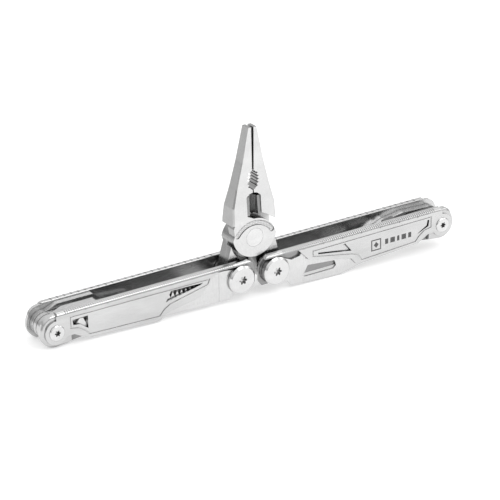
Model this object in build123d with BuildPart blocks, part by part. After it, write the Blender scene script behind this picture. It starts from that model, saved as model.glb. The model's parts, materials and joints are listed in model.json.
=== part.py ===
"""Folding multi tool: pliers on two folded-sheet handles, with outside blades and inside tools.

The tool stands opened flat, pliers up. +X runs along the right handle, -Y is the front, +Z is up, and the
origin is on the floor under the middle of the tool. All sizes are in millimetres, all angles in degrees.
"""

from build123d import *
from math import acos, atan2, cos, degrees, hypot, radians, sin, tan
import os

os.makedirs("parts", exist_ok=True)

# ---------------------------------------------------------------- driving dimensions
PIVOT_X = 8.66  # middle of the tool to each handle pivot
END_U = 87.4  # handle pivot to the end screw, along the handle
END_V = -0.5  # height of the end screw over the pivot line
RIVET_H = 15.9  # height of the jaw rivet over the pivots
JAW_TIP_H = 64.1  # height of the jaw tips over the pivots
JAW_HALF = 4.75  # half the thickness of the pliers head
JAW_TIP_HALF = 2.3  # half its thickness at the tips
JAW_AJAR = 0.65  # how far each jaw stands off the middle plane

CHANNEL_HALF = JAW_HALF + 0.35  # half the clear width inside a handle
SHEET = 1.0  # inner wall and web
SKIN = 0.8  # outer skin
POCKET = 1.45  # depth of the blade pocket between inner wall and skin
RIM_V = 7.6  # top of the rims over the pivot line
RIM_DEPTH = 1.2  # height of the folded rim
WEB_V = -5.9  # underside of the web
KNUCKLE_R = 8.5  # handle end around its pivot
KNUCKLE_FLAT = 7.9  # flat on that end
NOSE_R = 6.8  # handle end around the end screw
LOBE_R = 5.2  # skin around the end screw

PIVOT_R = 2.5  # pivot screw shaft
PIVOT_HEAD_R = 6.3
PIVOT_HEAD = 1.95  # height of the pivot screw head
END_R = 1.6  # end screw shaft
END_HEAD_R = 3.4
END_HEAD = 0.6
RIVET_R = 4.05
RUN = 0.05  # radial clearance of a shaft in a bore
GAP = 0.05  # clearance between faces that slide on each other

BLADE = 1.1  # outside blade thickness
TANG_R = 6.1  # outside blade around its pivot
WASHER_R = 5.0
SAW_TOP = 2.6
SAW_PITCH = 2.1
SAW_DEPTH = 2.3
HUMP_U = 28.0  # inner corner of the thumb hump on the knife spines
HUMP_DROP = 10.75  # depth of that hump under the pivot line
BELLY_U = 42.0  # belly corner of the left skins
BELLY_DROP = 8.1

# ---------------------------------------------------------------- values that follow
WALL_OUT = CHANNEL_HALF + SHEET
SKIN_IN = WALL_OUT + POCKET
SKIN_OUT = SKIN_IN + SKIN
BLADE_IN = WALL_OUT + (POCKET - BLADE) / 2
BLADE_OUT = BLADE_IN + BLADE
WEB_TOP = WEB_V + SHEET
POCKET_TOP = RIM_V - RIM_DEPTH
# The tool stands on the two knife humps and on the left handle's round end, which tilts the handles a little.
TILT = acos(NOSE_R / hypot(HUMP_DROP + END_V, HUMP_U + END_U)) - atan2(HUMP_U + END_U, HUMP_DROP + END_V)
PIVOT_Z = HUMP_DROP * cos(TILT) - HUMP_U * sin(TILT)


def side_view(side, low, high):
    """Side view of one handle, x outward from its pivot and y up, where a slab low..high deep starts."""
    return Plane(
        origin=(side * PIVOT_X, high if side > 0 else low, PIVOT_Z),
        x_dir=(side * cos(TILT), 0, side * sin(TILT)),
        z_dir=(0, -side, 0),
    )


def head_view(high):
    """Front view of the pliers head at depth high, x to the right and y up from the pivot line."""
    return Plane(origin=(0, high, PIVOT_Z), x_dir=(1, 0, 0), z_dir=(0, -1, 0))


def in_handle(side, point):
    """A world point in a handle's own directions: outward, depth, up."""
    local = side_view(side, 0, 0).to_local_coords(Vector(*point))
    return local.X, point.Y, local.Y


def both(inner, outer):
    """The front and the rear slab between two distances from the middle plane."""
    return (-outer, -inner), (inner, outer)


def outline(*points, mode=Mode.ADD):
    """A face with straight sides, at the corners given, in the current sketch."""
    Polygon(*points, align=None, mode=mode)


def save(piece, name):
    """Labels a finished piece and writes it."""
    piece.part.label = name
    export_step(piece.part, f"parts/{name}.step")
    return piece.part


# ---------------------------------------------------------------- pliers head
DISC_SWEEP = 11.1  # clear radius around the rivet for the other jaw's disc
DISC_R = 10.85
DISC_SHIFT = 2.3  # the disc is a lens between two circles this far above and below the rivet
HUB_R = 5.9
GRIP_LOW = 36.9  # coarse grip, from here
GRIP_HIGH = 45.4  # to here, over the pivots
GRIP_HALF = 1.9
GRIP_TEETH = 6
CUTTER_LOW = 25.8
CUTTER_HIGH = 35.8
CUTTER_HALF = 3.5
FINE_PITCH = 1.0
FINE_DEPTH = 0.28
SHOULDER_H = 22.4  # lower outer corner of each jaw, over the pivots
NOSE_LENGTH = JAW_TIP_H - SHOULDER_H
NOSE_CORNERS = (  # height over the pivots and half width of the closed jaws' outer edges
    (JAW_TIP_H, 2.1),
    (SHOULDER_H + 0.65 * NOSE_LENGTH, 5.2),
    (SHOULDER_H + 0.36 * NOSE_LENGTH, 8.4),
    (SHOULDER_H + 0.187 * NOSE_LENGTH, 10.3),
    (SHOULDER_H, 10.6),
)
NECK_HALF = 3.5  # half thickness of the tangs between disc and pivot
THICKNESS_CORNERS = (  # height over the pivots and half the closed jaws' thickness
    (JAW_TIP_H, JAW_TIP_HALF),
    (SHOULDER_H + 0.38 * NOSE_LENGTH, JAW_HALF - 1.65),
    (SHOULDER_H + 1.8, JAW_HALF),
)
JAW_BEVEL = 0.65  # at the shoulder, narrowing to the tip
RECESS_R = 10.2  # curved recess over the rivet
RECESS_DROP = 3.6  # its centre under the rivet
RECESS_WIDTH = 2.2
RECESS_DEPTH = 0.4


def inner_edge(height):
    """Distance of a jaw's inner edge from the middle plane."""
    return 0.03 + (height - RIVET_H) * tan(radians(JAW_AJAR))


def between(corners, height):
    """Half size at a height, from corners listed from the tip down."""
    height = max(height, corners[-1][0])
    for (high, narrow), (low, wide) in zip(corners, corners[1:]):
        if height >= low:
            break
    return wide + (narrow - wide) * (height - low) / (high - low)


def head_profile(inset):
    """Side view of the whole head, thinning towards the tip, set in by so much front and rear."""
    outline(
        (inset - JAW_HALF, PIVOT_Z - 10),
        (JAW_HALF - inset, PIVOT_Z - 10),
        *[(half - inset, PIVOT_Z + height) for height, half in reversed(THICKNESS_CORNERS)],
        *[(inset - half, PIVOT_Z + height) for height, half in THICKNESS_CORNERS],
    )


def nose_outline(side):
    """Front view of one jaw above the disc, with cutter recess, coarse grip and fine teeth."""
    outline(
        (side * inner_edge(JAW_TIP_H), JAW_TIP_H),
        *[(side * half, height) for height, half in NOSE_CORNERS],
        (side * 8.2, SHOULDER_H + 1.4),
        (side * CUTTER_HALF, CUTTER_LOW),
        (side * inner_edge(CUTTER_LOW), CUTTER_LOW),
    )
    outline(
        (-side * 0.5, CUTTER_LOW),
        (side * CUTTER_HALF, CUTTER_LOW),
        (side * CUTTER_HALF, CUTTER_HIGH - 1.8),
        (side * (CUTTER_HALF - 1.6), CUTTER_HIGH - 0.5),
        (-side * 0.5, CUTTER_HIGH),
        mode=Mode.SUBTRACT,
    )
    middle, half = (GRIP_LOW + GRIP_HIGH) / 2, (GRIP_HIGH - GRIP_LOW) / 2
    with Locations((0, middle)):
        Ellipse(inner_edge(middle) + GRIP_HALF, half, mode=Mode.SUBTRACT)
    pitch = (GRIP_HIGH - GRIP_LOW) / GRIP_TEETH
    for tooth in range(1, GRIP_TEETH):
        height = GRIP_LOW + tooth * pitch
        share = (height - middle) / half
        root = inner_edge(middle) + GRIP_HALF * (1 - share * share) ** 0.5
        with Locations((side * root, height)):
            outline(
                (-side * 0.3, -0.42 * pitch),
                (side * 0.75, 0.1),
                (-side * 0.3, 0.42 * pitch),
                mode=Mode.SUBTRACT,
            )
    count = int((JAW_TIP_H - 1.0 - GRIP_HIGH) / FINE_PITCH)
    for tooth in range(count):
        height = GRIP_HIGH + 0.8 + tooth * FINE_PITCH
        edge = inner_edge(height)
        with Locations((0, height)):
            outline(
                (0, -0.4 * FINE_PITCH),
                (side * (edge + FINE_DEPTH), 0),
                (0, 0.4 * FINE_PITCH),
                mode=Mode.SUBTRACT,
            )


def cheek_outline(side):
    """Front view of the jaw's own cheek, which joins it to its disc."""
    outline(
        (side * NOSE_CORNERS[-1][1], SHOULDER_H),
        (side * 9.4, RIVET_H),
        (side * 1.0, RIVET_H),
        (side * inner_edge(RIVET_H + 8.4), RIVET_H + 8.4),
        (side * CUTTER_HALF, CUTTER_LOW),
        (side * 8.2, SHOULDER_H + 1.4),
    )


def neck_outline(side):
    """Front view of the tang that runs from the disc down to the pivot on that side."""
    outline(
        (side * 9.9, RIVET_H + 1.0),
        (side * (PIVOT_X + HUB_R), 0),
        (side * (PIVOT_X - HUB_R), 0),
        (side * 1.2, 6.5),
        (-side * 1.5, RIVET_H - 4.0),
    )
    with Locations((side * PIVOT_X, 0)):
        Circle(HUB_R)


def disc_outline():
    """The lap joint's disc: the lens that two circles share."""
    with Locations((0, RIVET_H - DISC_SHIFT)):
        Circle(DISC_R)
    with Locations((0, RIVET_H + DISC_SHIFT)):
        Circle(DISC_R, mode=Mode.INTERSECT)


def cut_jaw_bevels(jaw, side):
    """Bevels the long outer edges of a jaw, front and rear, narrowing towards the tip."""
    heights = sorted({height for height, _ in (*NOSE_CORNERS, *THICKNESS_CORNERS)})
    for face in (-1, 1):
        with BuildPart() as wedge:
            for height in heights:
                x, y = between(NOSE_CORNERS, height), between(THICKNESS_CORNERS, height)
                bevel = JAW_BEVEL * x / NOSE_CORNERS[-1][1]
                with BuildSketch(Plane.XY.offset(PIVOT_Z + height)):
                    outline(
                        (side * (x + 1), face * (y - bevel - 1)),
                        (side * (x + 1), face * (y + 1)),
                        (side * (x - bevel - 1), face * (y + 1)),
                    )
            loft(ruled=True)
        with jaw:
            add(wedge.part, mode=Mode.SUBTRACT)


def make_jaw(nose_side):
    """One half of the pliers. nose_side is -1 for the front jaw, whose tang runs to the right handle."""
    if nose_side < 0:
        lap_low, lap_high = -JAW_HALF, -GAP / 2
    else:
        lap_low, lap_high = GAP / 2, JAW_HALF
    neck_low, neck_high = max(lap_low, -NECK_HALF), min(lap_high, NECK_HALF)
    pivot_at, rivet_at = (-nose_side * PIVOT_X, 0), (0, RIVET_H)
    with BuildPart() as jaw:
        with BuildSketch(head_view(JAW_HALF)):
            nose_outline(nose_side)
            with Locations(rivet_at):
                Circle(DISC_SWEEP, mode=Mode.SUBTRACT)
            with Locations(pivot_at):
                Circle(HUB_R)
        extrude(amount=2 * JAW_HALF)
        with BuildSketch(head_view(NECK_HALF)):
            neck_outline(-nose_side)
            with Locations(rivet_at):
                Circle(DISC_SWEEP, mode=Mode.SUBTRACT)
        extrude(amount=2 * NECK_HALF)
        with BuildSketch(head_view(neck_high)):
            neck_outline(-nose_side)
        extrude(amount=neck_high - neck_low)
        with BuildSketch(head_view(lap_high)):
            nose_outline(nose_side)
            cheek_outline(nose_side)
            disc_outline()
        extrude(amount=lap_high - lap_low)
        with BuildSketch(head_view(JAW_HALF)):
            with Locations(pivot_at):
                Circle(PIVOT_R + RUN)
            with Locations(rivet_at):
                Circle(RIVET_R + RUN)
        extrude(amount=2 * JAW_HALF, mode=Mode.SUBTRACT)
        with BuildSketch(Plane.YZ.offset(-30)):
            head_profile(0)
        extrude(amount=60, mode=Mode.INTERSECT)
    cut_jaw_bevels(jaw, nose_side)
    return jaw


def cut_arc_recess(jaw):
    """Curved recess with round ends over the rivet, in the front face of the front jaw."""
    middle = CenterArc((0, RIVET_H - RECESS_DROP), RECESS_R, 34, 112)
    with BuildSketch(head_view(-JAW_HALF + RECESS_DEPTH)) as recess:
        SlotArc(middle, RECESS_WIDTH)
    with jaw:
        extrude(recess.sketch, amount=RECESS_DEPTH, mode=Mode.SUBTRACT)


jaw_front = make_jaw(-1)
cut_arc_recess(jaw_front)
jaw_rear = make_jaw(1)
save(jaw_front, "jaw_front")
save(jaw_rear, "jaw_rear")

# ---------------------------------------------------------------- rivet and cutter inserts
with BuildPart() as jaw_rivet:
    with BuildSketch(head_view(JAW_HALF)):
        with Locations((0, RIVET_H)):
            Circle(RIVET_R)
    extrude(amount=2 * JAW_HALF)
save(jaw_rivet, "jaw_rivet")

CUTTER_FACE = 0.5  # how far the inserts stand back from the faces of the head


def make_cutter(side):
    """Wedge-shaped wire cutter insert in one jaw's recess, its edge in the middle plane."""
    outer = side * (CUTTER_HALF - 0.02)
    edge = side * (inner_edge(CUTTER_HIGH) + 0.02)
    with BuildPart() as cutter:
        with BuildSketch(Plane.XY.offset(PIVOT_Z + CUTTER_LOW + 0.05)):
            outline(
                (outer, -JAW_HALF + CUTTER_FACE),
                (side * 2.1, -JAW_HALF + CUTTER_FACE),
                (side * 1.7, -2.2),
                (edge, -0.25),
                (edge, 0.25),
                (side * 1.7, 2.2),
                (side * 2.1, JAW_HALF - CUTTER_FACE),
                (outer, JAW_HALF - CUTTER_FACE),
            )
        extrude(amount=CUTTER_HIGH - 1.9 - CUTTER_LOW)
        with BuildSketch(Plane.YZ.offset(-30)):
            head_profile(CUTTER_FACE)
        extrude(amount=60, mode=Mode.INTERSECT)
    return cutter


save(make_cutter(-1), "wire_cutter_front")
save(make_cutter(1), "wire_cutter_rear")

# ---------------------------------------------------------------- handles
NOSE_TOP_R = 5.0  # corner of the handle end, over the end screw
NOSE_TOP = (1.0, 2.4)  # its centre from the end screw
GROOVE = 0.5
GROOVE_DEPTH = 0.25
RIM_ROUND = 1.5  # outer round of the rims
RIM_INNER_ROUND = 0.4
NOSE_ROUND = 1.3  # outer round of the handle end
WEB_START = 14.0  # web, from the pivot
WEB_END = 14.0  # and up to this far from the end screw


def knuckle_outline(low, high):
    """The handle's side view between two heights, from its flat round the pivot to the end screw."""
    Circle(KNUCKLE_R)
    with Locations((-KNUCKLE_FLAT, low)):
        Rectangle(KNUCKLE_FLAT + KNUCKLE_R, high - low, align=(Align.MIN, Align.MIN), mode=Mode.INTERSECT)
    with Locations((0, low)):
        Rectangle(END_U - 0.6, high - low, align=(Align.MIN, Align.MIN))


def nose_end_outline():
    """Rounded end of the handle around the end screw."""
    with BuildSketch() as end:
        with Locations((END_U, END_V)):
            Circle(NOSE_R)
        with Locations((END_U + NOSE_TOP[0], END_V + NOSE_TOP[1])):
            Circle(NOSE_TOP_R)
        make_hull()
    add(end.sketch)
    outline(
        (END_U - 14, WEB_V),
        (END_U, END_V - NOSE_R),
        (END_U + NOSE_TOP[0], END_V + NOSE_TOP[1] + NOSE_TOP_R),
        (END_U - 14, END_V + NOSE_TOP[1] + NOSE_TOP_R),
    )


def skin_corners(side):
    """Corners of the outer skin's side view, from the rim over the blade and along the belly to the end."""
    if side < 0:
        bared = [(11.0, POCKET_TOP + 0.1), (15.2, 3.6), (15.7, 2.4), (20.7, -2.7), (35.2, -5.2), (37.9, -6.1)]
        belly = [(39.6, -7.9), (BELLY_U, -BELLY_DROP), (END_U - 27.5, -7.0), (END_U - 15.5, -6.5)]
    else:
        bared = [(11.2, POCKET_TOP + 0.1), (16.8, 0.7), (38.4, -4.2)]
        belly = [(41.3, -7.5), (42.1, -7.8), (END_U - 33.6, -7.2), (END_U - 13.1, -6.0)]
    end = [(END_U - 12.6, -5.7), (END_U - 7.8, -3.1), (END_U, -3.1), (END_U, POCKET_TOP + 0.1)]
    return bared + belly + end


def skin_outline(side):
    """Side view of the outer skin with its lobe round the end screw."""
    outline(*skin_corners(side))
    with Locations((END_U, END_V)):
        Circle(LOBE_R)


def groove_outline(side):
    """Area inside the engraved line that follows the skin's edge."""
    near = 37.6 if side < 0 else 41.5
    floor = -6.1 if side < 0 else -6.3
    outline(
        (END_U - 6.0, 5.1),
        (15.4 if side < 0 else 18.3, 4.6),
        (16.6, 2.0) if side < 0 else (18.4, 1.7),
        (near - 2.8, -2.0) if side < 0 else (near - 2.6, -2.3),
        (near, -3.6) if side < 0 else (near + 0.2, -3.4),
        (near + 2.4, floor),
        (END_U - 14.6, -5.0),
        (END_U - 12.8, -3.0),
        (END_U - 9.8, -0.9),
        (END_U - 6.0, -0.2),
    )


def cut_windows(side):
    """Cuts the openings through the skin, out of the current sketch."""
    if side < 0:
        windows = [
            [(-14.2, 3.5), (-7.2, 3.3), (-7.4, 1.0), (-10.6, 0.5), (-14.2, -2.1)],
            [(37.0 - END_U, -0.6), (34.2 - END_U, 4.0), (18.9 - END_U, 3.5), (20.4 - END_U, 2.8)],
        ]
    else:
        windows = [
            [
                (21.2 - END_U, 2.2), (21.4 - END_U, 2.9), (35.2 - END_U, 0.9), (34.0 - END_U, 3.6),
                (35.4 - END_U, 3.6), (38.6 - END_U, -0.5),
            ],
            [(-13.6, -1.6), (-13.0, -1.0), (-8.6, 1.4), (-8.2, 3.7), (-7.2, 3.7), (-7.6, 0.8)],
        ]
    for window in windows:
        outline(*[(END_U + u, v) for u, v in window], mode=Mode.SUBTRACT)


def rim_edges(handle, side, depth):
    """The straight top edges of the rims at one distance from the middle plane."""

    def on_rim(edge):
        _, y, v = in_handle(side, edge.center())
        return abs(abs(y) - depth) < 0.01 and abs(v - RIM_V) < 0.01

    return handle.edges().filter_by(GeomType.LINE).filter_by(on_rim)


def nose_edges(handle, side):
    """The outer edges of the closed end, beyond the end screw."""

    def on_nose(edge):
        u, y, _ = in_handle(side, edge.center())
        return abs(abs(y) - SKIN_IN) < 0.01 and u > END_U + LOBE_R + 0.3

    return handle.edges().filter_by(on_nose)


def screw_holes(side, low, high):
    """Cuts the pivot and end screw holes through a piece between two depths."""
    with BuildSketch(side_view(side, low, high)) as holes:
        Circle(PIVOT_R + RUN)
        with Locations((END_U, END_V)):
            Circle(END_R + RUN)
    extrude(holes.sketch, amount=high - low, mode=Mode.SUBTRACT)


def make_handle(side):
    """One handle, folded from one sheet: web, inner walls, rims, outer skins and closed end."""
    with BuildPart() as handle:
        for low, high in both(CHANNEL_HALF, WALL_OUT):
            with BuildSketch(side_view(side, low, high)):
                knuckle_outline(WEB_V, RIM_V)
                nose_end_outline()
            extrude(amount=high - low)
        for low, high in both(CHANNEL_HALF, SKIN_OUT):
            with BuildSketch(side_view(side, low, high)):
                knuckle_outline(POCKET_TOP, RIM_V)
            extrude(amount=high - low)
        for low, high in both(CHANNEL_HALF, SKIN_IN):
            with BuildSketch(side_view(side, low, high)):
                nose_end_outline()
                with Locations((END_U - NOSE_R - 20, 0)):
                    Rectangle(40, 40, mode=Mode.SUBTRACT)
            extrude(amount=high - low)
        for low, high in both(SKIN_IN, SKIN_OUT):
            with BuildSketch(side_view(side, low, high)):
                skin_outline(side)
                cut_windows(side)
            extrude(amount=high - low)
        with BuildSketch(side_view(side, -WALL_OUT, WALL_OUT)):
            with Locations((WEB_START, WEB_V)):
                Rectangle(END_U - WEB_START - WEB_END, SHEET, align=(Align.MIN, Align.MIN))
        extrude(amount=2 * WALL_OUT)
        screw_holes(side, -SKIN_OUT, SKIN_OUT)
        for face in (-SKIN_OUT, SKIN_OUT - GROOVE_DEPTH):
            with BuildSketch(side_view(side, face, face + GROOVE_DEPTH)):
                groove_outline(side)
                with BuildSketch(mode=Mode.PRIVATE) as inside:
                    groove_outline(side)
                    offset(amount=-GROOVE, mode=Mode.REPLACE)
                add(inside.sketch, mode=Mode.SUBTRACT)
            extrude(amount=GROOVE_DEPTH, mode=Mode.SUBTRACT)
        fillet(nose_edges(handle, side), NOSE_ROUND)
        fillet(rim_edges(handle, side, SKIN_OUT), RIM_ROUND)
        fillet(rim_edges(handle, side, CHANNEL_HALF), RIM_INNER_ROUND)
    return handle


handle_left = make_handle(-1)
handle_right = make_handle(1)
save(handle_left, "handle_left")
save(handle_right, "handle_right")

# ---------------------------------------------------------------- screws and washers


def star(radius):
    """Six-lobed driver recess in the current sketch."""
    Circle(radius)
    with PolarLocations(radius * 1.12, 6):
        Circle(radius * 0.36)


def make_screw(side, at, shaft_r, head_r, seat, head, chamfer_by, star_r):
    """Screw through a handle from the front: head, driver recess and shaft up to the rear seat."""
    with BuildPart() as screw:
        with BuildSketch(side_view(side, -seat - head, -seat)):
            with Locations(at):
                Circle(head_r)
        extrude(amount=head)
        outer = screw.edges().filter_by(lambda e: abs(e.center().Y + seat + head) < 0.01)
        chamfer(outer, chamfer_by)
        with BuildSketch(side_view(side, -seat, seat + head / 2)):
            with Locations(at):
                Circle(shaft_r)
        extrude(amount=2 * seat + head / 2)
        depth = STAR_DEPTH
        with BuildSketch(side_view(side, -seat - head, -seat - head + depth)):
            with Locations(at):
                star(star_r)
        extrude(amount=depth, mode=Mode.SUBTRACT)
    return screw


def make_nut(side, at, shaft_r, head_r, seat, head, chamfer_by, star_r):
    """Round nut on the rear of the same screw, with the same driver recess."""
    with BuildPart() as nut:
        with BuildSketch(side_view(side, seat, seat + head)):
            with Locations(at):
                Circle(head_r)
        extrude(amount=head)
        outer = nut.edges().filter_by(lambda e: abs(e.center().Y - seat - head) < 0.01)
        chamfer(outer, chamfer_by)
        with BuildSketch(side_view(side, seat, seat + head / 2 + RUN)):
            with Locations(at):
                Circle(shaft_r + RUN / 2)
        extrude(amount=head / 2 + RUN, mode=Mode.SUBTRACT)
        depth = head * 0.35
        with BuildSketch(side_view(side, seat + head - depth, seat + head)):
            with Locations(at):
                star(star_r)
        extrude(amount=depth, mode=Mode.SUBTRACT)
    return nut


def make_washers(side, at, shaft_r, outer_r, slabs):
    """Flat washers on one screw, at the depths given."""
    with BuildPart() as washers:
        for low, high in slabs:
            with BuildSketch(side_view(side, low, high)):
                with Locations(at):
                    Circle(outer_r)
                    Circle(shaft_r + RUN, mode=Mode.SUBTRACT)
            extrude(amount=high - low)
    return washers


STAR_DEPTH = 1.3  # driver recess
PIVOT_AT = (0, 0)
END_AT = (END_U, END_V)
WASHER_PLAY = 0.02
for side, word in ((-1, "left"), (1, "right")):
    pivot = (side, PIVOT_AT, PIVOT_R, PIVOT_HEAD_R, SKIN_IN, PIVOT_HEAD, 0.8, 1.3)
    end = (side, END_AT, END_R, END_HEAD_R, SKIN_OUT, END_HEAD, 0.35, 0.92)
    save(make_screw(*pivot), f"pivot_screw_{word}")
    save(make_nut(*pivot), f"pivot_nut_{word}")
    save(make_screw(*end), f"end_screw_{word}")
    save(make_nut(*end), f"end_nut_{word}")
    slabs = [
        *both(WALL_OUT + WASHER_PLAY, BLADE_IN - WASHER_PLAY),
        *both(BLADE_OUT + WASHER_PLAY, SKIN_IN - WASHER_PLAY),
    ]
    save(make_washers(side, PIVOT_AT, PIVOT_R, WASHER_R, slabs), f"blade_washers_{word}")

# ---------------------------------------------------------------- outside blades
BLADE_REACH = END_U - 9.4  # pivot to blade tip
PLUNGE_DEPTH = 0.12  # step from the tang down to the ground face


def blade_slab(face):
    """Depths of the front (-1) or rear (1) outside blade."""
    return (-BLADE_OUT, -BLADE_IN) if face < 0 else (BLADE_IN, BLADE_OUT)


def cut_plunge(side, face, plunge):
    """Steps the outer face of the current blade down, from the plunge line out."""
    low, high = (-BLADE_OUT, -BLADE_OUT + PLUNGE_DEPTH) if face < 0 else (BLADE_OUT - PLUNGE_DEPTH, BLADE_OUT)
    with BuildSketch(side_view(side, low, high)) as step:
        outline((plunge, -20), (BLADE_REACH + 5, -20), (BLADE_REACH + 5, 20), (plunge - 0.6, 20))
    extrude(step.sketch, amount=high - low, mode=Mode.SUBTRACT)


def cut_bevel(side, face, start, foot, edge):
    """Grinds the outer face of the current blade away towards its edge."""
    along = Plane(
        origin=side_view(side, 0, 0).from_local_coords((start, 0, 0)),
        x_dir=(0, 1, 0),
        z_dir=(side * cos(TILT), 0, side * sin(TILT)),
    )
    rise = side  # the plane's own up direction turns over from one handle to the other
    with BuildSketch(along) as wedge:
        outline(
            (face * (BLADE_OUT + 0.1), rise * foot),
            (face * (BLADE_OUT - PLUNGE_DEPTH), rise * foot),
            (face * (BLADE_IN + 0.2), rise * edge),
            (face * (BLADE_OUT + 0.1), rise * edge),
        )
    extrude(wedge.sketch, amount=BLADE_REACH - start + 5, mode=Mode.SUBTRACT)


def make_knife(face, serrated):
    """Knife on the right handle, with a thumb hole through the hump on its spine."""
    low, high = blade_slab(face)
    with BuildPart() as blade:
        with BuildSketch(side_view(1, low, high)):
            Circle(TANG_R)
            outline(
                (2.0, -5.7), (6.0, -6.6), (7.7, -9.2), (HUMP_U, -HUMP_DROP), (HUMP_U + 5.1, -HUMP_DROP),
                (HUMP_U + 14.8, -8.6), (HUMP_U + 26, -6.9), (BLADE_REACH - 8, -4.6), (BLADE_REACH - 2, -2.2),
                (BLADE_REACH, 0.6), (BLADE_REACH - 2, 2.8), (BLADE_REACH - 12, 4.8), (30.0, 5.6), (14.5, 5.8),
                (12.5, 3.4), (8.5, 2.6), (4.0, 4.5),
            )
            if serrated:
                for notch in range(12):
                    with Locations((17.5 + 3.4 * notch, 6.3)):
                        Circle(1.5, mode=Mode.SUBTRACT)
        extrude(amount=high - low)
        cut_plunge(1, face, 14.6)
        cut_bevel(1, face, 15.5, 0.0, 7.0)
        with BuildSketch(side_view(1, low, high)) as hole:
            outline(
                (HUMP_U - 13.9, -6.2), (HUMP_U - 11.4, -2.0), (HUMP_U + 2.4, -3.3), (HUMP_U + 3.3, -5.6),
                (HUMP_U + 1.8, -7.0), (HUMP_U - 13.0, -7.0),
            )
            fillet(hole.vertices(), 0.45)
        extrude(amount=high - low, mode=Mode.SUBTRACT)
        with BuildSketch(side_view(1, low, high)):
            Circle(PIVOT_R + RUN)
        extrude(amount=high - low, mode=Mode.SUBTRACT)
    return blade


def make_saw(face, toothed):
    """Saw or file on the left handle."""
    low, high = blade_slab(face)
    top = SAW_TOP if toothed else 4.6
    with BuildPart() as blade:
        with BuildSketch(side_view(-1, low, high)):
            Circle(TANG_R)
            outline(
                (3.0, -5.0), (4.7, -6.1), (5.2, -8.2), (19.7, -7.8), (36.6, -7.3), (BLADE_REACH - 6, -5.7),
                (BLADE_REACH, -3.5), (BLADE_REACH, top - 2.0), (BLADE_REACH - 1.5, top), (17.0, top),
                (15.5, 5.6), (8.0, 5.6), (3.0, 5.0),
            )
            if toothed:
                for tooth in range(int((BLADE_REACH - 21) / SAW_PITCH)):
                    with Locations((18.5 + SAW_PITCH * tooth, top)):
                        outline(
                            (-0.15 * SAW_PITCH, 0.1),
                            (0.35 * SAW_PITCH, -SAW_DEPTH),
                            (0.85 * SAW_PITCH, 0.1),
                            mode=Mode.SUBTRACT,
                        )
            Circle(PIVOT_R + RUN, mode=Mode.SUBTRACT)
        extrude(amount=high - low)
        cut_plunge(-1, face, 10.9)
    return blade


save(make_knife(-1, False), "knife_blade")
save(make_knife(1, True), "serrated_blade")
save(make_saw(-1, True), "saw_blade")
save(make_saw(1, False), "file_blade")

# ---------------------------------------------------------------- inside tools, on the end screws
TOOL_TANG_R = 5.4
TOOL_FLOOR = WEB_TOP + 0.35
TOOL_WASHER_R = 5.1


def stacked(*shares):
    """Depths of the pieces on an end screw, front to rear, which fill the channel but for the gaps."""
    room = 2 * CHANNEL_HALF - GAP * (len(shares) + 1)
    slabs, low = [], -CHANNEL_HALF + GAP
    for share in shares:
        thickness = room * share / sum(shares)
        slabs.append((low, low + thickness))
        low += thickness + GAP
    return slabs


def make_tool(side, slab, *points):
    """Flat inside tool: tang round the end screw and a blade with the corners given."""
    low, high = slab
    with BuildPart() as tool:
        with BuildSketch(side_view(side, low, high)):
            outline((END_U - 1, END_V + TOOL_TANG_R - 0.1), *points, (END_U - 1, END_V - TOOL_TANG_R + 0.1))
            with Locations(END_AT):
                Circle(TOOL_TANG_R)
                Circle(END_R + RUN, mode=Mode.SUBTRACT)
        extrude(amount=high - low)
    return tool


def jaw_line(u):
    """Height under which a stored tool clears the folded pliers head."""
    return PIVOT_X - 11.2 + max(0.0, (u - 31.0) * 0.242)


left_slabs = stacked(4.3, 0.25, 2.2, 0.25, 2.75)
driver_slab, screwdriver_slab, opener_slab = left_slabs[0], left_slabs[2], left_slabs[4]
save(make_washers(-1, END_AT, END_R, TOOL_WASHER_R, [left_slabs[1], left_slabs[3]]), "tool_washers_left")

DRIVER_NEAR = JAW_TIP_H + 1.8  # bit driver's mouth, just beyond the folded pliers
DRIVER_TOP = 6.9
BIT_WIDE = 5.0
BIT_THICK = 2.4
BIT_V = 0.2  # middle of the bit
BIT_DEPTH = 14.0  # how far the bit sits in the driver
BIT_LENGTH = 26.0
driver_y = sum(driver_slab) / 2

bit_driver = make_tool(
    -1, driver_slab, (END_U - 6, DRIVER_TOP), (DRIVER_NEAR + 1, DRIVER_TOP), (DRIVER_NEAR, DRIVER_TOP - 1),
    (DRIVER_NEAR, TOOL_FLOOR), (END_U - 8, TOOL_FLOOR),
)
low, high = driver_y - BIT_THICK / 2 - GAP, driver_y + BIT_THICK / 2 + GAP
with BuildSketch(side_view(-1, low, high)) as socket:
    with Locations((DRIVER_NEAR, BIT_V)):
        Rectangle(BIT_DEPTH + GAP, BIT_WIDE + 2 * GAP, align=(Align.MIN, Align.CENTER))
with bit_driver:
    extrude(socket.sketch, amount=high - low, mode=Mode.SUBTRACT)
save(bit_driver, "bit_driver")

with BuildPart() as hex_bit:
    low, high = driver_y - BIT_THICK / 2, driver_y + BIT_THICK / 2
    near, far = DRIVER_NEAR + BIT_DEPTH - BIT_LENGTH, DRIVER_NEAR + BIT_DEPTH
    with BuildSketch(side_view(-1, low, high)):
        outline(
            (near, BIT_V - 1.3), (near + 4, BIT_V - BIT_WIDE / 2), (far - 4, BIT_V - BIT_WIDE / 2),
            (far, BIT_V - 1.3), (far, BIT_V + 1.3), (far - 4, BIT_V + BIT_WIDE / 2),
            (near + 6, BIT_V + BIT_WIDE / 2), (near, BIT_V + 1.0),
        )
    extrude(amount=high - low)
save(hex_bit, "double_ended_bit")

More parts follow.
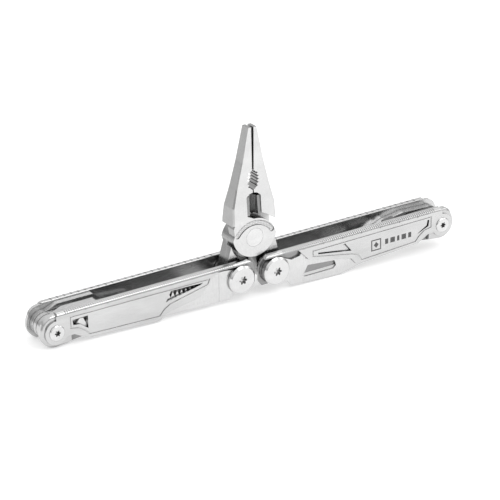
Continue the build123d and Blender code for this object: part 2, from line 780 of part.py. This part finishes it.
save(make_tool(
    -1, screwdriver_slab, (END_U - 14, 4.6), (60, 2.2), (46, jaw_line(46)), (44, -2.2), (38, -2.6),
    (38, TOOL_FLOOR), (END_U - 10, TOOL_FLOOR),
), "flat_screwdriver")
save(make_tool(
    -1, opener_slab, (END_U - 6, DRIVER_TOP), (DRIVER_NEAR - 1.0, DRIVER_TOP),
    (DRIVER_NEAR - 3.0, DRIVER_TOP - 1.6), (DRIVER_NEAR - 4.5, 3.4), (56, 1.4), (54.5, -1.0), (52, -0.6),
    (50.5, 1.4),
    (46, 0.4), (45, TOOL_FLOOR + 1), (48, TOOL_FLOOR), (END_U - 10, TOOL_FLOOR),
), "can_opener")

right_slabs = stacked(1.4, 1.5, 3.2, 0.25, 3.2)
base_slab, lever_slab, small_slab, awl_slab = right_slabs[0], right_slabs[1], right_slabs[2], right_slabs[4]
save(make_washers(1, END_AT, END_R, TOOL_WASHER_R, [lever_slab, right_slabs[3]]), "tool_washers_right")

SCISSORS_AT = (60.0, -0.6)  # scissors rivet
SCISSORS_RIVET_R = 1.0
scissors_base = make_tool(
    1, base_slab, (END_U - 8, 4.6), (END_U - 14, 2.6), (66, 2.2), (61, 1.8), (57, 0.6), (40, -3.6),
    (39, TOOL_FLOOR), (62, TOOL_FLOOR), (70, -3.2), (END_U - 8, -3.6),
)
with BuildSketch(side_view(1, *base_slab)) as rivet_hole:
    with Locations(SCISSORS_AT):
        Circle(SCISSORS_RIVET_R)
with scissors_base:
    extrude(rivet_hole.sketch, amount=base_slab[1] - base_slab[0], mode=Mode.SUBTRACT)
save(scissors_base, "scissors_base")
with BuildPart() as scissors_lever:
    with BuildSketch(side_view(1, *lever_slab)):
        outline(
            (40, -3.4), (57, 1.2), (60, 1.8), (63, 1.2), (70, 0.6), (END_U - 8, 0.4), (END_U - 8, -1.0),
            (70, -1.4), (62.5, -3.0), (58, -3.0), (40, -4.2),
        )
        with Locations(SCISSORS_AT):
            Circle(SCISSORS_RIVET_R + RUN, mode=Mode.SUBTRACT)
    extrude(amount=lever_slab[1] - lever_slab[0])
save(scissors_lever, "scissors_lever")
with BuildPart() as scissors_rivet:
    low, high = base_slab[0], lever_slab[1]
    with BuildSketch(side_view(1, low, high)):
        with Locations(SCISSORS_AT):
            Circle(SCISSORS_RIVET_R)
    extrude(amount=high - low)
save(scissors_rivet, "scissors_rivet")
with BuildPart() as scissors_spring:
    low, high = lever_slab[0] + 0.2, lever_slab[1] - 0.2
    with BuildSketch(side_view(1, low, high)):
        outline(
            (64.0, 1.4), (66.5, 1.3), (END_U - 9, 0.7), (END_U - 9, 1.1), (67.0, 1.9), (66.5, 2.6),
            (64.0, 2.6),
        )
    extrude(amount=high - low)
save(scissors_spring, "scissors_spring")

save(make_tool(
    1, small_slab, (END_U - 12, 4.4), (END_U - 14, 3.2), (67, 3.0), (66.5, 5.6), (61.5, jaw_line(61.5)),
    (60.5, 2.6), (51, 1.8), (50, 1.0),
    (50, TOOL_FLOOR), (61, TOOL_FLOOR), (63, -2.4), (END_U - 14, -2.6), (END_U - 9, TOOL_FLOOR),
), "small_driver")
save(make_tool(
    1, awl_slab, (END_U - 14, 5.4), (64, 4.0), (56, 1.0), (41, -3.6), (42, TOOL_FLOOR),
    (END_U - 10, TOOL_FLOOR),
), "awl")
print("pivot z", round(PIVOT_Z, 4), "tilt", round(degrees(TILT), 4))
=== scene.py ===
"""Looks for the folding multi tool: brushed steel, etched rulers, knurling, and a studio to show it in."""

import json
from collections import namedtuple
from math import atan2, cos, radians, sin

import bmesh
import bpy
from mathutils import Matrix, Vector


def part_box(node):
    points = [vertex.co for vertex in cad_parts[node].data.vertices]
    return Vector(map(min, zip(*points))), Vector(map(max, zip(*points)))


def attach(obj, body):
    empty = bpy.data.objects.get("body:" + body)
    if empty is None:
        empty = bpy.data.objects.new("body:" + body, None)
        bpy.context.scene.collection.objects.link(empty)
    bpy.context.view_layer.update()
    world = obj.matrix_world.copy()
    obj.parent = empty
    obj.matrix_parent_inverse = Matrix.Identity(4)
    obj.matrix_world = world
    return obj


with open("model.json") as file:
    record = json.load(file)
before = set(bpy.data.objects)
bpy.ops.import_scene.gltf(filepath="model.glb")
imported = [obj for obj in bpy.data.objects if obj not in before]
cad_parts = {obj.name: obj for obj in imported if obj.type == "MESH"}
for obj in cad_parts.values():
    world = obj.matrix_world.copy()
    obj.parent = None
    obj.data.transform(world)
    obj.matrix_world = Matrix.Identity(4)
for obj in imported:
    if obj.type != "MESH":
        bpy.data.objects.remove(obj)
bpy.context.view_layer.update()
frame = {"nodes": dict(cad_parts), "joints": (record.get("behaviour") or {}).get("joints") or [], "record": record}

MM = 0.001
LEFT, RIGHT = -1, 1
FRONT, REAR = -1, 1
JOINTS = {joint["name"]: joint for joint in frame["joints"]}
SLIDE = Vector(JOINTS["bit_slide"]["axis"])  # runs along the handles, towards +X
ALONG = Vector((SLIDE.x, 0, SLIDE.z)).normalized()
UP = Vector((-ALONG.z, 0, ALONG.x))
ALONG_TILT = atan2(ALONG.z, ALONG.x)
PIVOT = {
    LEFT: Vector(JOINTS["left_handle_fold"]["pos_m"]),
    RIGHT: Vector(JOINTS["right_handle_fold"]["pos_m"]),
}
RIVET = Vector(JOINTS["jaw_pivot"]["pos_m"])
HANDLE_BODY = {LEFT: "left_handle", RIGHT: "right_handle"}
SKIN_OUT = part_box("handle_left")[1].y  # outer face of the handle skins
HEAD_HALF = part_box("jaw_front")[1].y  # half the thickness of the pliers head


def on_handle(side, u, v, y):
    """World place of a point u outward from a handle's pivot and v up, in mm, at depth y in metres."""
    return PIVOT[side] + side * u * MM * ALONG + v * MM * UP + Vector((0, y, 0))


# ---------------------------------------------------------------- camera
VIEW_AZIMUTH = -32.696  # degrees, as are the next two
VIEW_ELEVATION = 22.89
VIEW_ROLL = 0.284
VIEW_DISTANCE = 0.94168
VIEW_TARGET = Vector((0.00065, -0.00001, 0.018257))
LENS = 160.79
SENSOR = 36.0
CLIP_NEAR = 0.01
CLIP_FAR = 20.0


def make_camera():
    a = radians(VIEW_AZIMUTH)
    e = radians(VIEW_ELEVATION)
    back = Vector((sin(a) * cos(e), -cos(a) * cos(e), sin(e)))
    data = bpy.data.cameras.new("camera")
    data.lens = LENS
    data.sensor_width = SENSOR
    data.clip_start = CLIP_NEAR
    data.clip_end = CLIP_FAR
    camera = bpy.data.objects.new("camera", data)
    bpy.context.scene.collection.objects.link(camera)
    level = Vector((cos(a), sin(a), 0))
    upright = back.cross(level)
    r = radians(VIEW_ROLL)
    right = level * cos(r) + upright * sin(r)
    up = upright * cos(r) - level * sin(r)
    turn = Matrix((right, up, back)).transposed()
    camera.matrix_world = Matrix.Translation(VIEW_TARGET + back * VIEW_DISTANCE) @ turn.to_4x4()
    bpy.context.scene.camera = camera


# ---------------------------------------------------------------- node material helpers
def grey(value, warm=0.0):
    return (value * (1 + warm), value, value * (1 - warm))


BLACK = grey(0.0)
WHITE = grey(1.0)


class Nodes:
    """Short hand for building one node material."""

    def __init__(self, name):
        self.material = bpy.data.materials.new(name)
        self.material.use_nodes = True
        self.tree = self.material.node_tree
        self.shader = self.tree.nodes["Principled BSDF"]

    def add(self, kind, **settings):
        """A node with its properties set, or its inputs where the setting starts with in_."""
        node = self.tree.nodes.new(kind)
        for key, value in settings.items():
            if key.startswith("in_"):
                node.inputs[key[3:].replace("_", " ")].default_value = value
            else:
                setattr(node, key, value)
        return node

    def link(self, source, target):
        self.tree.links.new(source, target)

    def set(self, **values):
        """Plain numbers and colours on the shader's own sockets."""
        for key, value in values.items():
            self.shader.inputs[key.replace("_", " ")].default_value = value

    def coords(self, scale, turn=0.0):
        """Object coordinates in millimetres, scaled; turn leans the grain about Y."""
        place = self.add("ShaderNodeTexCoord")
        mapping = self.add("ShaderNodeMapping")
        mapping.inputs["Rotation"].default_value = (0, turn, 0)
        mapping.inputs["Scale"].default_value = tuple(s / MM for s in scale)
        self.link(place.outputs["Object"], mapping.inputs["Vector"])
        return mapping.outputs["Vector"]

    def noise(self, vector, detail, roughness=0.5):
        node = self.add("ShaderNodeTexNoise", in_Scale=1.0, in_Detail=detail, in_Roughness=roughness)
        self.link(vector, node.inputs["Vector"])
        return node.outputs["Fac"]

    def ramp(self, value, stops):
        node = self.add("ShaderNodeValToRGB")
        elements = node.color_ramp.elements
        while len(elements) < len(stops):
            elements.new(0.5)
        for element, (position, colour) in zip(elements, stops):
            element.position = position
            element.color = (*colour, 1)
        self.link(value, node.inputs["Fac"])
        return node.outputs["Color"]

    def mix(self, factor, a, b, blend="MIX"):
        """Mixes two colours. Each of factor, a and b is a socket or a plain value."""
        node = self.add("ShaderNodeMix", data_type="RGBA", blend_type=blend)
        for name, value in (("Factor", factor), ("A", a), ("B", b)):
            target = [i for i in node.inputs if i.name == name and i.enabled][0]
            if hasattr(value, "node"):
                self.link(value, target)
            else:
                target.default_value = value if name == "Factor" else (*value, 1)
        return [o for o in node.outputs if o.enabled][0]

    def darken(self, colour, by):
        return self.mix(1.0, colour, by, "MULTIPLY")

    def math(self, operation, *values):
        """A math node. Each value is a socket or a plain number."""
        node = self.add("ShaderNodeMath", operation=operation)
        for target, value in zip(node.inputs, values):
            if hasattr(value, "node"):
                self.link(value, target)
            else:
                target.default_value = value
        return node.outputs["Value"]

    def distance_along_y(self, kind):
        """Size of the Y part of the object coordinates or of the normal."""
        place = self.add("ShaderNodeTexCoord")
        parts = self.add("ShaderNodeSeparateXYZ")
        self.link(place.outputs[kind], parts.inputs["Vector"])
        return self.math("ABSOLUTE", parts.outputs["Y"])

    def map(self, value, low, high, out_low, out_high):
        node = self.add("ShaderNodeMapRange")
        self.link(value, node.inputs["Value"])
        limits = (("From Min", low), ("From Max", high), ("To Min", out_low), ("To Max", out_high))
        for key, number in limits:
            node.inputs[key].default_value = number
        return node.outputs["Result"]

    def bump(self, height, strength, depth, normal=None, invert=False):
        """Relief on the shader's normal, depth in millimetres."""
        node = self.add("ShaderNodeBump", invert=invert, in_Strength=strength, in_Distance=depth * MM)
        self.link(height, node.inputs["Height"])
        if normal:
            self.link(normal, node.inputs["Normal"])
        self.link(node.outputs["Normal"], self.shader.inputs["Normal"])


# ---------------------------------------------------------------- steel
CLOUD_GRAIN = (0.06, 0.2, 0.2)  # per mm, slow changes of tone over the metal
SCRATCH_COARSER = 0.35  # the scratches' fineness as a share of the grain's
SCRATCH_TURN = 0.35  # radians between grain and scratches
SCRATCH_ROUGH = 0.06  # roughness that a scratch adds
EDGE_ROUND = 0.12  # shading radius of sharp edges, mm
EDGE_WEAR = 0.25  # share of polish on worn edges
FACE_ON = 0.9  # a normal's Y part beyond which a face counts as flat to the front or rear
POCKET_SHADE_TONE = 0.22  # painted shade inside the blade pocket: its brightness as a share of the steel's
HATCH_LEAN = 0.6  # radians each way, between the rows of a file's teeth
GRAIN_DEPTH = 0.02  # mm


def paint_recess_shade(n, colour, reach, floor):
    """Painted shade: darkens recesses, where light doesn't reach."""
    hollow = n.add("ShaderNodeAmbientOcclusion", samples=6, in_Distance=reach * MM)
    depth = n.ramp(hollow.outputs["AO"], [(0.12, grey(floor)), (0.62, WHITE)])
    return n.darken(colour, depth)


def cross_cut(n, colour, turn, fineness):
    """Darkens two crossing sets of rows, as on a file."""
    for lean in (HATCH_LEAN, -HATCH_LEAN):
        rows = n.add("ShaderNodeTexWave", in_Scale=fineness)
        n.link(n.coords((1, 1, 1), turn + lean), rows.inputs["Vector"])
        colour = n.darken(colour, n.ramp(rows.outputs["Color"], [(0.2, grey(0.4)), (0.6, WHITE)]))
    return colour


def paint_pocket_shade(n, colour, facing, low, high, tone):
    """Painted pocket shade: darkens front and rear faces between two distances from the middle plane, in mm."""
    depth = n.distance_along_y("Object")
    beyond_low = n.math("GREATER_THAN", depth, low * MM)
    before_high = n.math("GREATER_THAN", high * MM, depth)
    between = n.math("MULTIPLY", beyond_low, before_high)
    flat = n.math("GREATER_THAN", facing, FACE_ON)
    return n.mix(n.math("MULTIPLY", between, flat), colour, grey(tone))


def steel(
    name, light, dark, rough, grain, turn=0.0, bump=0.15, warm=0.0, reach=2.2, floor=0.16, painted_side_shade=1.0,
    pocket_shade=None, hatch=0.0,
):
    """Brushed or ground steel.

    light and dark are the tones of its grain. grain is the fineness along X, Y and Z per millimetre, and turn
    leans it about Y. Painted shade darkens recesses down to floor over reach millimetres. painted_side_shade,
    below 1, is painted shade darkening the faces not flat to the front or rear. pocket_shade holds the two
    depths of the painted shade in the blade pocket, and hatch is the fineness of file teeth.
    """
    n = Nodes(name)
    fine = n.noise(n.coords(grain, turn), 4.0, 0.6)
    broad = n.noise(n.coords(CLOUD_GRAIN, turn), 2.0)
    coarse = tuple(g * SCRATCH_COARSER for g in grain)
    scratch = n.noise(n.coords(coarse, turn + SCRATCH_TURN), 6.0, 0.7)
    facing = n.distance_along_y("Normal")

    colour = n.ramp(fine, [(0.32, grey(dark, warm)), (0.68, grey(light, warm))])
    colour = n.darken(colour, n.ramp(broad, [(0.3, grey(0.88)), (0.7, WHITE)]))
    # Painted shade on the faces that don't face the front or rear.
    if painted_side_shade < 1.0:
        colour = n.darken(colour, n.ramp(facing, [(0.55, grey(painted_side_shade)), (0.97, WHITE)]))
    if hatch:
        colour = cross_cut(n, colour, turn, hatch)
    # Painted shade inside the blade pocket.
    if pocket_shade:
        colour = paint_pocket_shade(n, colour, facing, *pocket_shade, light * POCKET_SHADE_TONE)
    geometry = n.add("ShaderNodeNewGeometry")
    worn = n.map(geometry.outputs["Pointiness"], 0.51, 0.56, 0.0, EDGE_WEAR)
    colour = n.mix(worn, colour, grey(min(1.0, light * 1.15)))
    # Painted shade darkens the recesses before the colour goes to the shader.
    n.link(paint_recess_shade(n, colour, reach, floor), n.shader.inputs["Base Color"])

    rough_fine = n.map(fine, 0.3, 0.7, rough * 0.85, rough * 1.2)
    marks = n.ramp(scratch, [(0.60, BLACK), (0.72, WHITE)])
    n.link(n.math("MULTIPLY_ADD", marks, SCRATCH_ROUGH, rough_fine), n.shader.inputs["Roughness"])
    n.set(Metallic=1.0)
    edge = n.add("ShaderNodeBevel", samples=4, in_Radius=EDGE_ROUND * MM)
    n.bump(fine, bump, GRAIN_DEPTH, edge.outputs["Normal"])
    return n.material


def assign(node, material):
    mesh = frame["nodes"][node].data
    mesh.materials.clear()
    mesh.materials.append(material)


# The sheet steel gets painted shade inside its blade pocket.
SHEET = steel(
    "sheet_steel", 0.65, 0.53, 0.22, (0.25, 9.0, 9.0), ALONG_TILT, bump=0.10, floor=0.14, pocket_shade=(5.6, 7.0)
)
# The head's side faces get painted shade.
HEAD = steel("head_steel", 0.71, 0.59, 0.24, (7.0, 7.0, 0.35), bump=0.14, reach=4.0, painted_side_shade=0.38)
BLADE = steel("blade_steel", 0.70, 0.58, 0.20, (6.0, 6.0, 0.4), 0.3, bump=0.12)
FILE = steel("file_steel", 0.66, 0.54, 0.34, (6.0, 6.0, 0.4), ALONG_TILT, bump=0.12, hatch=0.5)
TOOL = steel("tool_steel", 0.60, 0.48, 0.24, (0.4, 7.0, 7.0), ALONG_TILT, bump=0.12)
BOLT = steel("bolt_steel", 0.74, 0.64, 0.16, (2.0, 6.0, 2.0), bump=0.06, floor=0.03)
CUTTER = steel("cutter_steel", 0.34, 0.20, 0.28, (6.0, 6.0, 0.5), bump=0.2)
BIT = steel("bit_steel", 0.16, 0.10, 0.34, (0.6, 6.0, 6.0), ALONG_TILT, bump=0.2)
BRONZE = steel("bronze", 0.45, 0.32, 0.35, (4.0, 4.0, 4.0), bump=0.2, warm=0.3)
SLOT_MATERIAL = {
    "handle_steel": SHEET, "head_steel": HEAD, "fastener_steel": BOLT, "cutter_steel": CUTTER,
    "bronze": BRONZE, "blade_steel": BLADE, "bit_steel": BIT, "tool_steel": TOOL,
}
for part in frame["record"]["subparts"]:
    assign(part["node"], SLOT_MATERIAL[part["material_slot"]])
assign("small_driver", BIT)
assign("file_blade", FILE)


# ---------------------------------------------------------------- added pieces
def piece(name, mesh, body, material):
    obj = bpy.data.objects.new(name, mesh)
    bpy.context.scene.collection.objects.link(obj)
    mesh.materials.append(material)
    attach(obj, body)
    return obj


def build_mesh(name, patches):
    """One mesh from patches, each a grid of world points: rows of equal length."""
    bm = bmesh.new()
    for rows in patches:
        grid = [[bm.verts.new(point) for point in row] for row in rows]
        for low, high in zip(grid, grid[1:]):
            for a, b, c, d in zip(low, low[1:], high[1:], high):
                bm.faces.new((a, b, c, d))
    mesh = bpy.data.meshes.new(name)
    bm.to_mesh(mesh)
    bm.free()
    return mesh


def etched(name, light, dark, rough):
    """Dark oxide left by laser marking, with bright specks where the steel shows through."""
    n = Nodes(name)
    speck = n.noise(n.coords((7.0, 7.0, 7.0)), 3.0, 0.7)
    n.link(n.ramp(speck, [(0.4, grey(dark)), (0.7, grey(light))]), n.shader.inputs["Base Color"])
    n.set(Roughness=rough, Metallic=0.6)
    n.bump(speck, 0.3, 0.01)
    return n.material


ETCH = etched("etched_mark", 0.20, 0.06, 0.5)
LIFT = 0.03  # how far a mark stands off the steel, mm
RIM_ROUND = 1.5  # outer round of the handle rims, mm
RIM_V = 7.6  # top of the rims over the pivot line, mm
LONG_TICK = 88  # how far round the rim a mark runs down, degrees
MIDDLE_TICK = 76
SHORT_TICK = 62
TICK_STEPS = 6

# Lengths in mm. On the flat top a mark runs inward by flat, and by flat_more for each degree it runs down.
Ruler = namedtuple("Ruler", "where face pitch count start long_every middle_every half flat flat_more")
RULERS = (
    Ruler("near", FRONT, 1.0, 80, 4.0, 10, 5, 0.14, 0.2, 0.0),
    Ruler("far", REAR, 3.175, 25, 6.0, 8, 4, 0.22, 0.6, 0.012),
)


def rim_point(side, face, u, angle, inward):
    """Point on a rim. angle runs from 0 at its flat top to 90 at its outer face, and inward is in mm."""
    a = radians(angle)
    reach = RIM_ROUND + LIFT
    y = face * (SKIN_OUT - (RIM_ROUND + inward - reach * sin(a)) * MM)
    return on_handle(side, u, RIM_V - RIM_ROUND + reach * cos(a), y)


def make_ruler(side, ruler):
    """Ruler marks across one rim's shoulder."""
    patches = []
    for tick in range(ruler.count):
        u = ruler.start + tick * ruler.pitch
        if tick % ruler.long_every == 0:
            reach = LONG_TICK
        elif tick % ruler.middle_every == 0:
            reach = MIDDLE_TICK
        else:
            reach = SHORT_TICK
        places = [(0.0, ruler.flat + ruler.flat_more * reach)]
        places += [(reach * i / TICK_STEPS, 0.0) for i in range(TICK_STEPS + 1)]
        edges = (u - ruler.half, u + ruler.half)
        patches.append([[rim_point(side, ruler.face, x, *place) for x in edges] for place in places])
    word = "left" if side == LEFT else "right"
    name = f"ruler_{word}_{ruler.where}"
    piece(name, build_mesh(name, patches), HANDLE_BODY[side], ETCH)


for side in (LEFT, RIGHT):
    for ruler in RULERS:
        make_ruler(side, ruler)


def knurl(name):
    """Knurled grey insert: rows of small raised points."""
    n = Nodes(name)
    cells = n.add("ShaderNodeTexVoronoi", in_Scale=1.0, in_Randomness=0.12)
    n.link(n.coords((1.3, 1.3, 1.3)), cells.inputs["Vector"])
    points = cells.outputs["Distance"]
    n.link(n.ramp(points, [(0.1, grey(0.95)), (0.5, grey(0.45))]), n.shader.inputs["Base Color"])
    n.set(Roughness=0.45, Metallic=0.4)
    n.bump(points, 0.8, 0.15, invert=True)
    return n.material


ARC_DROP = 3.6  # middle of the strip's arc under the rivet, mm
ARC_RADIUS = 10.2
ARC_HALF = 0.85  # half its width
ARC_START = 34  # degrees
ARC_SWEEP = 112
ARC_STEPS = 40
ARC_DEPTH = 0.1  # its face under the head's face
ARC_ROUND = 0.16  # how much lower its edges lie
ARC_FLAT = 0.8  # share of its width that is flat


def make_arc_insert():
    """Knurled strip that lies in the curved recess over the rivet."""
    section = (
        (-ARC_HALF, ARC_ROUND), (-ARC_HALF * ARC_FLAT, 0), (ARC_HALF * ARC_FLAT, 0), (ARC_HALF, ARC_ROUND)
    )
    rows = []
    for i in range(ARC_STEPS + 1):
        a = radians(ARC_START + ARC_SWEEP * i / ARC_STEPS)
        row = []
        for across, sink in section:
            r = ARC_RADIUS + across
            x = RIVET.x + r * cos(a) * MM
            z = RIVET.z + (r * sin(a) - ARC_DROP) * MM
            row.append(Vector((x, -HEAD_HALF + (ARC_DEPTH + sink) * MM, z)))
        rows.append(row)
    piece("arc_insert", build_mesh("arc_insert", [rows]), "front_jaw", knurl("knurled_insert"))


make_arc_insert()

# The etched mark, in mm from the right handle's pivot: outward, then up.
FRAME_U = (49.0, 54.2)
FRAME_V = (-3.7, 1.5)
FRAME_LINE = 0.5
LOZENGE_HALF = (1.3, 1.4)
BAR_V = (-2.0, 0.4)
BARS_U = ((56.4, 58.0), (59.2, 61.6), (62.8, 64.0), (65.2, 67.6), (68.8, 70.4))


def make_mark():
    """Generic etched mark on the right handle's front skin: a lozenge in a frame, and five bars."""
    y = -SKIN_OUT - LIFT * MM
    patches = []

    def rectangle(us, vs):
        patches.append([[on_handle(RIGHT, u, v, y) for u in us] for v in vs])

    (left, right), (low, high) = FRAME_U, FRAME_V
    rectangle((left, left + FRAME_LINE), FRAME_V)
    rectangle((right - FRAME_LINE, right), FRAME_V)
    rectangle((left + FRAME_LINE, right - FRAME_LINE), (high - FRAME_LINE, high))
    rectangle((left + FRAME_LINE, right - FRAME_LINE), (low, low + FRAME_LINE))
    for bar in BARS_U:
        rectangle(bar, BAR_V)
    middle_u, middle_v = (left + right) / 2, (low + high) / 2
    half_u, half_v = LOZENGE_HALF
    west, north, east, south = (
        on_handle(RIGHT, middle_u + u, middle_v + v, y)
        for u, v in ((-half_u, 0), (0, half_v), (half_u, 0), (0, -half_v))
    )
    patches.append([[west, north], [south, east]])
    piece("etched_mark", build_mesh("etched_mark", patches), "right_handle", ETCH)


make_mark()

# ---------------------------------------------------------------- studio
FLOOR_HALF = 6.0  # metres
FLOOR_TONES = (0.61, 0.64)
FLOOR_GRAIN = 0.002  # per mm
FLOOR_GLOW = 0.5
SKY = ((0.0, 0.45), (0.15, 0.5), (0.42, 0.88), (0.75, 1.05))  # height over the horizon, brightness
LIGHT_TARGET = Vector((0, 0, 0.02))
LIGHTS = (  # place, size and power
    ("key", (0.22, -0.5, 0.8), (0.5, 0.5), 1.8),
    ("fill", (0.7, -0.35, 0.4), (0.5, 0.4), 0.6),
    ("back", (0.45, 0.65, 0.8), (0.5, 0.4), 0.6),
)


def make_floor():
    mesh = bpy.data.meshes.new("floor")
    corners = [(x * FLOOR_HALF, y * FLOOR_HALF, 0) for x, y in ((-1, -1), (1, -1), (1, 1), (-1, 1))]
    mesh.from_pydata(corners, [], [(0, 1, 2, 3)])
    floor = bpy.data.objects.new("floor", mesh)
    bpy.context.scene.collection.objects.link(floor)
    n = Nodes("floor_paper")
    tone = n.noise(n.coords((FLOOR_GRAIN, FLOOR_GRAIN, FLOOR_GRAIN)), 2.0)
    dark, light = FLOOR_TONES
    n.link(n.ramp(tone, [(0.3, grey(dark)), (0.7, grey(light))]), n.shader.inputs["Base Color"])
    n.set(Roughness=0.9, Emission_Color=(1, 1, 1, 1), Emission_Strength=FLOOR_GLOW)
    mesh.materials.append(n.material)


def make_light(name, place, size, power):
    data = bpy.data.lights.new(name, "AREA")
    data.shape = "RECTANGLE"
    data.size, data.size_y = size
    data.energy = power
    light = bpy.data.objects.new(name, data)
    bpy.context.scene.collection.objects.link(light)
    light.location = place
    light.rotation_euler = (LIGHT_TARGET - Vector(place)).to_track_quat("-Z", "Y").to_euler()


def make_world():
    world = bpy.data.worlds.new("studio")
    world.use_nodes = True
    tree = world.node_tree
    background = tree.nodes["Background"]
    place = tree.nodes.new("ShaderNodeTexCoord")
    split = tree.nodes.new("ShaderNodeSeparateXYZ")
    tree.links.new(place.outputs["Generated"], split.inputs["Vector"])
    sky = tree.nodes.new("ShaderNodeValToRGB")
    while len(sky.color_ramp.elements) < len(SKY):
        sky.color_ramp.elements.new(0.5)
    for element, (height, bright) in zip(sky.color_ramp.elements, SKY):
        element.position = height
        element.color = (bright, bright, bright, 1)
    tree.links.new(split.outputs["Z"], sky.inputs["Fac"])
    tree.links.new(sky.outputs["Color"], background.inputs["Color"])
    background.inputs["Strength"].default_value = 1.0
    bpy.context.scene.world = world


make_camera()
make_floor()
make_world()
for light in LIGHTS:
    make_light(*light)
bpy.context.scene.view_settings.view_transform = "Standard"
bpy.context.scene.view_settings.look = "None"
